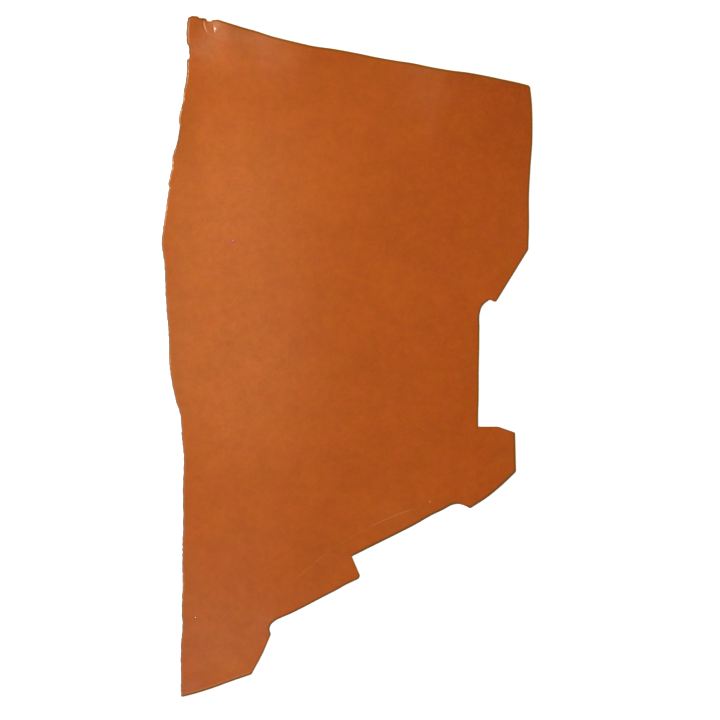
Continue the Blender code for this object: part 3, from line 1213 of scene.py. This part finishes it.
@dataclass(frozen=True)
class GrainFinish:
    """Smooth, waxed, tan grain: dye clouds, fine pores, small marks, painted light and shade.

    `mottles` and `clouds` hold (size in millimetres, depth) for each layer, from coarse to
    fine, and each layer's noise is shifted by the shift times its size. A Move turns one
    range of a number into another, and a Strip is the distances in from the edge over which
    it comes in and goes out, with its strength. `dark_fade` is in parts of the rim's own
    reach, and the other distances are in millimetres.
    """

    tan: Colour = (0.302, 0.0572, 0.0057)
    deep: Colour = (0.180, 0.0215, 0.0007)
    ochre: Colour = (0.352, 0.0743, 0.0065)
    russet: Colour = (0.290, 0.0395, 0.0004)
    pale: Colour = (0.398, 0.120, 0.0315)
    rosy: Colour = (0.406, 0.155, 0.0820)
    # Colour of the painted sheen, standing in for the window light's reflection.
    haze: Colour = (0.655, 0.573, 0.364)
    olive: Colour = (0.215, 0.0640, 0.0090)
    mottle_warm: Colour = (0.310, 0.0850, 0.0050)
    mottle_cool: Colour = (0.338, 0.0540, 0.0160)
    # Dark rim colour: the edge's own darker tone, with painted shade where the edge rounds over.
    rim: Colour = (0.140, 0.0450, 0.0010)
    burr: Colour = (0.420, 0.230, 0.0060)
    # Colour of painted shade on edges that lie in shade, strongest on the lower ones.
    painted_edge_shade: Colour = (0.0774, 0.0440, 0.0140)
    frayed: Colour = (0.130, 0.088, 0.044)
    nap: Colour = (0.220, 0.120, 0.072)
    fibre: Colour = (0.585, 0.285, 0.135)
    # Painted light on the creases' lit banks and painted shade on their shaded banks.
    painted_bank_light: Colour = (0.585, 0.290, 0.140)
    painted_bank_shade: Colour = (0.182, 0.0501, 0.0091)
    # Near-white colour of the painted glint on the pinch crease.
    bare: Colour = (0.95, 0.86, 0.76)
    mottles: tuple[Span, ...] = ((45.0, 0.15), (18.0, 0.15), (7.0, 0.18), (4.2, 0.20), (2.6, 0.34))
    clouds: tuple[Span, ...] = (
        (80.0, 0.017), (38.0, 0.027), (13.0, 0.030), (5.0, 0.026), (1.6, 0.024),
    )
    mottle_shift: float = 0.03
    cloud_shift: float = 0.01
    warm_hues: Span = (0.5, 0.72)
    cool_hues: Span = (0.28, 0.5)
    lively: Move = ((0.0, 0.6), (1.0, 1.18))
    calm: Move = ((0.0, 0.5), (1.0, 0.8))
    pores: Move = ((0.25, 0.45), (0.86, 1.0))
    specular: float = 0.12
    sheen_tint: Colour = (1.0, 0.55, 0.28)
    dark_fade: Move = ((0.35, 1.4), (1.0, 0.0))
    burr_fade: Move = ((0.4, 1.1), (0.9, 0.0))
    nap_fade: Move = ((1.4, 4.6), (0.36, 0.0))
    # Where the painted highlight on the rim's bevel comes in and goes out.
    painted_bevel_light: Strip = ((2.6, 3.4), (4.2, 6.0), 0.32)
    ragged: Span = (-0.6, 0.6)
    pale_strip: Strip = ((-0.3, 0.4), (1.5, 2.3), 1.0)
    # The thin painted shadow line inside a raw edge's pale strip.
    inner_shadow_line: Strip = ((1.7, 2.3), (2.9, 3.9), 0.65)
    # Strength of the painted shade and the painted light on the crease banks.
    painted_bank_shade_share: float = 0.5
    painted_bank_light_share: float = 0.7
    roughness: Span = (0.47, 0.57)
    polish: float = 0.22
    wrinkle_mm: float = 0.10
    pore_mm: float = 0.05
    marks: tuple[Scratch | Mark, ...] = (
        Scratch(),
        Mark("scuff", (136.2, -239.5), 2.2, (0.45, 0.17, 0.06), 0.5),
        Mark("red_ring", (-188.3, 190.5), 3.6, (0.24, 0.036, 0.045), 0.75),
        Mark("pink_dot", (-188.3, 190.8), 1.8, (0.57, 0.145, 0.31), 0.95),
        Mark("wax_ring", (-250.3, -430.3), 3.2, (0.13, 0.036, 0.006), 0.8),
        Mark("wax_dot", (-250.3, -430.2), 1.1, (0.95, 0.80, 0.42), 1.0),
    )

    def material(self) -> bpy.types.Material:
        """The grain side's material.

        Returns:
            The material, with shallow wrinkles and then fine pores in its normal.
        """
        graph = Graph("waxed_grain")
        # Colour with its patches of painted light and shade, then the small marks.
        colour = self.toned_with_painted_light(graph)
        for mark in self.marks:
            colour = mark.over(graph, colour)
        rough = graph.span(graph.noise(45.0, 3.0, offset=0.7), NOISE_RANGE, self.roughness)
        shine = graph.times(graph.share("polish"), self.polish)
        wrinkles = graph.bump(graph.noise(14.0, 3.0, offset=0.9), self.wrinkle_mm)
        return graph.finish(
            {
                "Base Color": self.edged(graph, colour),
                "Roughness": graph.worked_out("SUBTRACT", rough, shine),
                "Normal": graph.bump(graph.noise(1.0), self.pore_mm, wrinkles),
                "Specular IOR Level": self.specular,
                "Specular Tint": self.sheen_tint,
            }
        )

    def toned_with_painted_light(self, graph: Graph) -> Socket:
        """The grain's colour: broad patches, some painted light and shade, its clouds and a fine
        ochre and russet mottle.

        The mottle is livelier where the hide is pale and calmer where it is deep.

        Args:
            graph: the material's nodes.

        Returns:
            The dyed colour.
        """
        colour = self.tan
        for tone in Tone:
            if tone is not Tone.FIBRE:
                colour = graph.laid(colour, getattr(self, tone.value), graph.share(tone.value))
        lively = graph.span(graph.share(Tone.PALE.value), *self.lively)
        amount = graph.times(lively, graph.span(graph.share(Tone.DEEP.value), *self.calm))
        for feature, depth in self.mottles:
            hue = graph.noise(feature, offset=self.mottle_shift * feature)
            warm = graph.span(hue, self.warm_hues, (0.0, depth))
            cool = graph.span(hue, self.cool_hues, (depth, 0.0))
            colour = graph.laid(colour, self.mottle_warm, warm, amount)
            colour = graph.laid(colour, self.mottle_cool, cool, amount)
        for feature, depth in self.clouds:
            cloud = graph.noise(feature, offset=self.cloud_shift * feature)
            swing = (1.0 - depth, 1.0 + depth)
            colour = graph.shaded(colour, graph.span(cloud, NOISE_RANGE, swing))
        return graph.shaded(colour, graph.span(graph.noise(0.9, 1.0), *self.pores))

    def edged(self, graph: Graph, colour: Socket) -> Socket:
        """The grain with its darkened rim, fibre at raw edges, painted crease banks and glint.

        The dark rim is the edge's own darker colour with painted shade where the edge rounds
        over, and more painted shade on the lower edges that face away from the window. It holds
        to a third of its reach and is gone a little past it, with a golden burr on its outermost
        millimetre and a painted highlight inside it where the bevel catches the light. A light
        strip of fibre lies just inside a raw edge, with a thin line of painted shadow along its
        inner side, and wavers by `ragged`. Each crease gets painted light on its lit bank and
        painted shade on its shaded bank.

        Args:
            graph: the material's nodes.
            colour: the grain's colour.

        Returns:
            The colour with the edges on it.
        """
        inset, frayed = graph.share("inset_mm"), graph.share("frayed")
        dark = graph.span(graph.share("rim_part"), *self.dark_fade)
        golden = graph.span(inset, *self.burr_fade)
        furry = graph.span(inset, *self.nap_fade)
        light = graph.band(inset, *self.painted_bevel_light)
        # The dark rim: the edge's own darker colour with painted shade, then frayed fibre.
        rim_tone_and_shade = graph.laid(self.rim, self.painted_edge_shade, graph.share("painted_edge_shade"))
        rim_tone_and_shade = graph.laid(rim_tone_and_shade, self.frayed, frayed)
        colour = graph.laid(colour, rim_tone_and_shade, dark, graph.share("rim_depth"))
        colour = graph.laid(colour, self.burr, golden, graph.share("burr"))
        colour = graph.laid(colour, self.nap, furry, frayed)
        # A painted highlight inside the rim, where the bevel catches the light.
        colour = graph.laid(colour, self.fibre, light, graph.share("painted_bevel_light"))
        ragged = graph.span(graph.noise(2.2, offset=0.4), NOISE_RANGE, self.ragged)
        past = graph.worked_out("ADD", graph.share("strip_mm"), ragged)
        strip = graph.times(graph.share("beads"), graph.share(Tone.FIBRE.value))
        # A thin line of painted shadow along the inner side of the pale fibre strip.
        colour = graph.laid(colour, self.rim, graph.band(past, *self.inner_shadow_line), strip)
        colour = graph.laid(colour, self.fibre, graph.band(past, *self.pale_strip), strip)
        # Painted shade on the creases' shaded banks, painted light on their lit banks.
        colour = graph.laid(colour, self.painted_bank_shade, graph.share("shaded_bank"), self.painted_bank_shade_share)
        colour = graph.laid(colour, self.painted_bank_light, graph.share("lit_bank"), self.painted_bank_light_share)
        # A near-white painted glint on the pinch crease.
        return graph.laid(colour, self.bare, graph.share("glint"))


@dataclass(frozen=True)
class FibreFinish:
    """Bare fibre, as on the walls of the edges and on the flesh side."""

    name: str
    colour: Colour
    shadow: Colour
    feature_mm: float
    nap_mm: float
    stretch: Point = (1.0, 1.0, 1.0)
    tones: Span = (0.35, 0.65)
    clouds: Move = (NOISE_RANGE, (0.92, 1.08))
    roughness: Move = (NOISE_RANGE, (0.85, 0.95))
    specular: float = 0.1

    def material(self) -> bpy.types.Material:
        """The fibre's material.

        Returns:
            The material: two tones in a fine nap, over broad clouds.
        """
        graph = Graph(self.name)
        nap = graph.noise(self.feature_mm, 4.0, self.stretch)
        colour = graph.laid(self.shadow, self.colour, graph.span(nap, self.tones))
        cloud = graph.span(graph.noise(40.0, 3.0, offset=0.3), *self.clouds)
        return graph.finish(
            {
                "Base Color": graph.shaded(colour, cloud),
                "Roughness": graph.span(nap, *self.roughness),
                "Normal": graph.bump(nap, self.nap_mm),
                "Specular IOR Level": self.specular,
            }
        )


FINISHES = {
    Slot.GRAIN: GrainFinish(),
    Slot.CUT_EDGE: FibreFinish(
        "knife_cut_edge", (0.25, 0.085, 0.022), (0.12, 0.036, 0.008), 1.1, 0.15, (2.5, 2.5, 0.6)
    ),
    Slot.RAW_EDGE: FibreFinish("raw_edge", (0.36, 0.15, 0.055), (0.15, 0.052, 0.014), 0.9, 0.3),
    Slot.FLESH: FibreFinish("flesh_side", (0.44, 0.20, 0.085), (0.32, 0.125, 0.045), 1.6, 0.25),
}


@dataclass(frozen=True)
class Studio:
    """A pale floor, a soft window light from the upper left, and the camera above.

    Its places and sizes are in metres.
    """

    floor_reach: float = 30.0
    floor_colour: Colour = (0.60, 0.60, 0.60)
    floor_glow: float = 0.55
    white: Colour = (1.0, 1.0, 1.0)
    air_strength: float = 1.0
    window_place: Point = (-1.20, 0.35, 1.25)
    window_target: Point = (-0.15, 0.05, 0.0)
    window_size: float = 1.0
    window_power: float = 20.0
    camera_height: float = 5.0
    view_centre: Place = (0.0210, -0.0059)
    view_width: float = 1.18656
    grain_height: float = 0.003
    sensor_mm: float = 36.0

    def floor(self) -> None:
        """Lay the floor under the hide."""
        corners = [(-1, -1), (1, -1), (1, 1), (-1, 1)]
        points = [(x * self.floor_reach, y * self.floor_reach, 0.0) for x, y in corners]
        mesh = bpy.data.meshes.new("floor")
        mesh.from_pydata(points, [], [(0, 1, 2, 3)])
        finish = {
            "Base Color": self.floor_colour,
            "Roughness": 0.9,
            "Specular IOR Level": 0.1,
            "Emission Color": self.white,
            "Emission Strength": self.floor_glow,
        }
        mesh.materials.append(Graph("pale_floor").finish(finish))
        floor = placed("floor", mesh)

    def light(self) -> None:
        """Fill the air with pale light and hang the window light."""
        world = bpy.data.worlds.new("pale_air")
        world.use_nodes = True
        air = world.node_tree.nodes["Background"]
        air.inputs["Color"].default_value = (*self.white, 1.0)
        air.inputs["Strength"].default_value = self.air_strength
        bpy.context.scene.world = world
        window = bpy.data.lights.new("window", "AREA")
        window.shape = "SQUARE"
        window.size = self.window_size
        window.energy = self.window_power
        lamp = placed("window", window)
        lamp.location = self.window_place
        aim = Vector(self.window_target) - Vector(self.window_place)
        lamp.rotation_euler = aim.to_track_quat("-Z", "Y").to_euler()
        lamp.visible_camera = False

    def camera(self) -> None:
        """Stand the camera over the hide, looking straight down with +Y up."""
        lens = bpy.data.cameras.new("camera")
        lens.sensor_width = self.sensor_mm
        drop = self.camera_height - self.grain_height
        lens.lens = self.sensor_mm * drop / self.view_width
        camera = placed("camera", lens)
        camera.location = (*self.view_centre, self.camera_height)
        bpy.context.scene.camera = camera

    def build(self) -> None:
        """Set up the floor, the light and the camera."""
        self.floor()
        self.light()
        self.camera()
        view = bpy.context.scene.view_settings
        view.view_transform = "Standard"
        view.look = "None"


def main() -> None:
    """Load the frame, build and dress the hide, and set up the studio around it."""
    logging.basicConfig(level=logging.INFO, format="%(name)s: %(message)s")
    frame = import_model()
    log.info("frame: %s", ", ".join(sorted(frame["nodes"])))
    outline = Outline(EDGE)
    log.info("edge: %d points", len(outline.points))
    hide = Hide(outline).build()
    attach(hide, "root")
    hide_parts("hide")
    log.info("leather_hide: %d points, %d faces", len(hide.data.vertices), len(hide.data.polygons))
    Studio().build()
    log.info("studio: floor, window light and camera")


if __name__ == "__main__":
    main()
